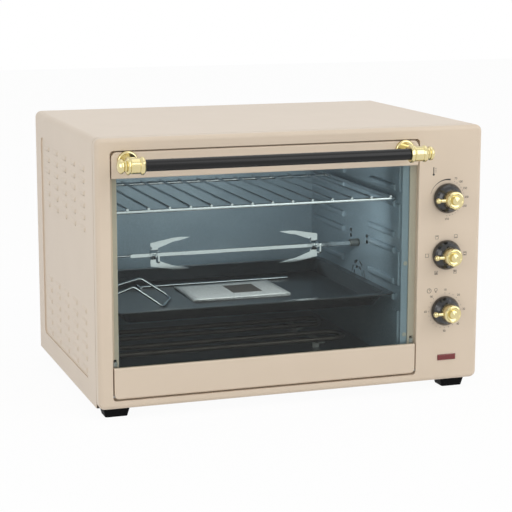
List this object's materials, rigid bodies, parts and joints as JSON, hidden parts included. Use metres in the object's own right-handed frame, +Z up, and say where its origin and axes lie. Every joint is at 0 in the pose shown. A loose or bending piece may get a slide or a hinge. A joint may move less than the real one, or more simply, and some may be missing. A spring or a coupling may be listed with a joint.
{
  "type": "electric countertop oven",
  "caption": "Countertop electric oven with a drop-down glass door, bar handle, dials, spit, wire rack, baking tray and side vents.",
  "frame": {"origin": "bottom centre of the whole oven's bounding box, on the worktop", "axes": "+X to the right seen from the front, +Y to the back, +Z up; the door faces -Y"},
  "size_m": [0.54, 0.4376, 0.369],
  "materials": {
    "cream_paint": "satin powder paint",
    "dark_enamel": "dark blue-grey enamel",
    "steel": "plain sheet steel",
    "zinc": "zinc plated",
    "chrome": "bright plating",
    "gold": "polished brass plating",
    "black_gloss": "gloss black",
    "black_tube": "gloss black enamel on steel tube",
    "black_matte": "matt black",
    "clear_glass": "clear toughened glass",
    "red_lens": "dark red translucent lens",
    "white_ceramic": "unglazed steatite",
    "heater_sheath": "oxidised stainless sheath",
    "paper": "printed paper",
    "motor_black": "moulded plastic and laminations"
  },
  "bodies": {
    "casing": {"back_panel": "steel", "base_panel": "steel", "cavity_back_wall": "dark_enamel", "cavity_floor": "dark_enamel", "cavity_left_wall": "dark_enamel", "cavity_right_wall": "dark_enamel", "cavity_roof": "dark_enamel", "cord_gland": "black_matte", "fan_motor": "steel", "fan_shroud": "steel", "fixing_screws": "zinc", "foot_front_left": "black_matte", "foot_front_right": "black_matte", "foot_rear_left": "black_matte", "foot_rear_right": "black_matte", "front_frame": "cream_paint", "function_body": "motor_black", "heater_bushes": "white_ceramic", "heater_clips": "steel", "hinge_pins": "steel", "lower_heater_front": "heater_sheath", "lower_heater_rear": "heater_sheath", "motor_bracket": "steel", "outer_shell": "cream_paint", "pilot_lamp_housing": "motor_black", "pilot_lamp_lens": "red_lens", "spit_hook": "steel", "spit_motor": "steel", "thermostat_body": "motor_black", "timer_body": "motor_black", "upper_heater_front": "heater_sheath", "upper_heater_rear": "heater_sheath"},
    "door": {"door_top_rail": "cream_paint", "door_bottom_rail": "cream_paint", "door_glass": "clear_glass", "door_stays": "steel", "handle_bar": "black_tube", "handle_end_left": "gold", "handle_end_right": "gold", "rail_screws": "zinc"},
    "rack": {"wire_rack": "chrome"},
    "tray": {"baking_tray": "dark_enamel", "booklet": "paper", "tray_lifter": "chrome", "spit_lifter": "chrome"},
    "spit": {"spit_rod": "chrome", "spit_fork_left": "chrome", "spit_fork_right": "chrome", "fork_screws": "chrome", "drive_socket": "steel"},
    "fan": {"fan_rotor": "steel"},
    "thermostat_knob": {"thermostat_shaft": "steel", "thermostat_dial": "black_gloss", "thermostat_cap": "gold"},
    "function_knob": {"function_shaft": "steel", "function_dial": "black_gloss", "function_cap": "gold"},
    "timer_knob": {"timer_shaft": "steel", "timer_dial": "black_gloss", "timer_cap": "gold"}
  },
  "joints": [
    {"name": "door_hinge", "type": "hinge", "parent": "casing", "child": "door", "pos_m": [0, -0.15775, 0.032], "axis": [1, 0, 0], "range_deg": [0, 80]},
    {"name": "rack_slide", "type": "slide", "parent": "casing", "child": "rack", "axis": [0, -1, 0], "range_m": [0, 0.195]},
    {"name": "tray_slide", "type": "slide", "parent": "casing", "child": "tray", "axis": [0, -1, 0], "range_m": [0, 0.125]},
    {"name": "spit_spin", "type": "hinge", "parent": "casing", "child": "spit", "pos_m": [0, 0.00275, 0.185], "axis": [1, 0, 0], "continuous": true},
    {"name": "fan_spin", "type": "hinge", "parent": "casing", "child": "fan", "pos_m": [0.17, 0.00075, 0.133], "axis": [1, 0, 0], "continuous": true},
    {"name": "thermostat_turn", "type": "hinge", "parent": "casing", "child": "thermostat_knob", "pos_m": [0.219, -0.16725, 0.2705], "axis": [0, 1, 0], "range_deg": [0, 270]},
    {"name": "function_turn", "type": "hinge", "parent": "casing", "child": "function_knob", "pos_m": [0.219, -0.16725, 0.1922], "axis": [0, 1, 0], "range_deg": [0, 300]},
    {"name": "timer_turn", "type": "hinge", "parent": "casing", "child": "timer_knob", "pos_m": [0.219, -0.16725, 0.1139], "axis": [0, 1, 0], "range_deg": [0, 300]}
  ],
  "couplings": [
    {"joint": "rack_slide", "follows": "door_hinge", "m_per_rad": 0.1395},
    {"joint": "tray_slide", "follows": "door_hinge", "m_per_rad": 0.0894}
  ]
}
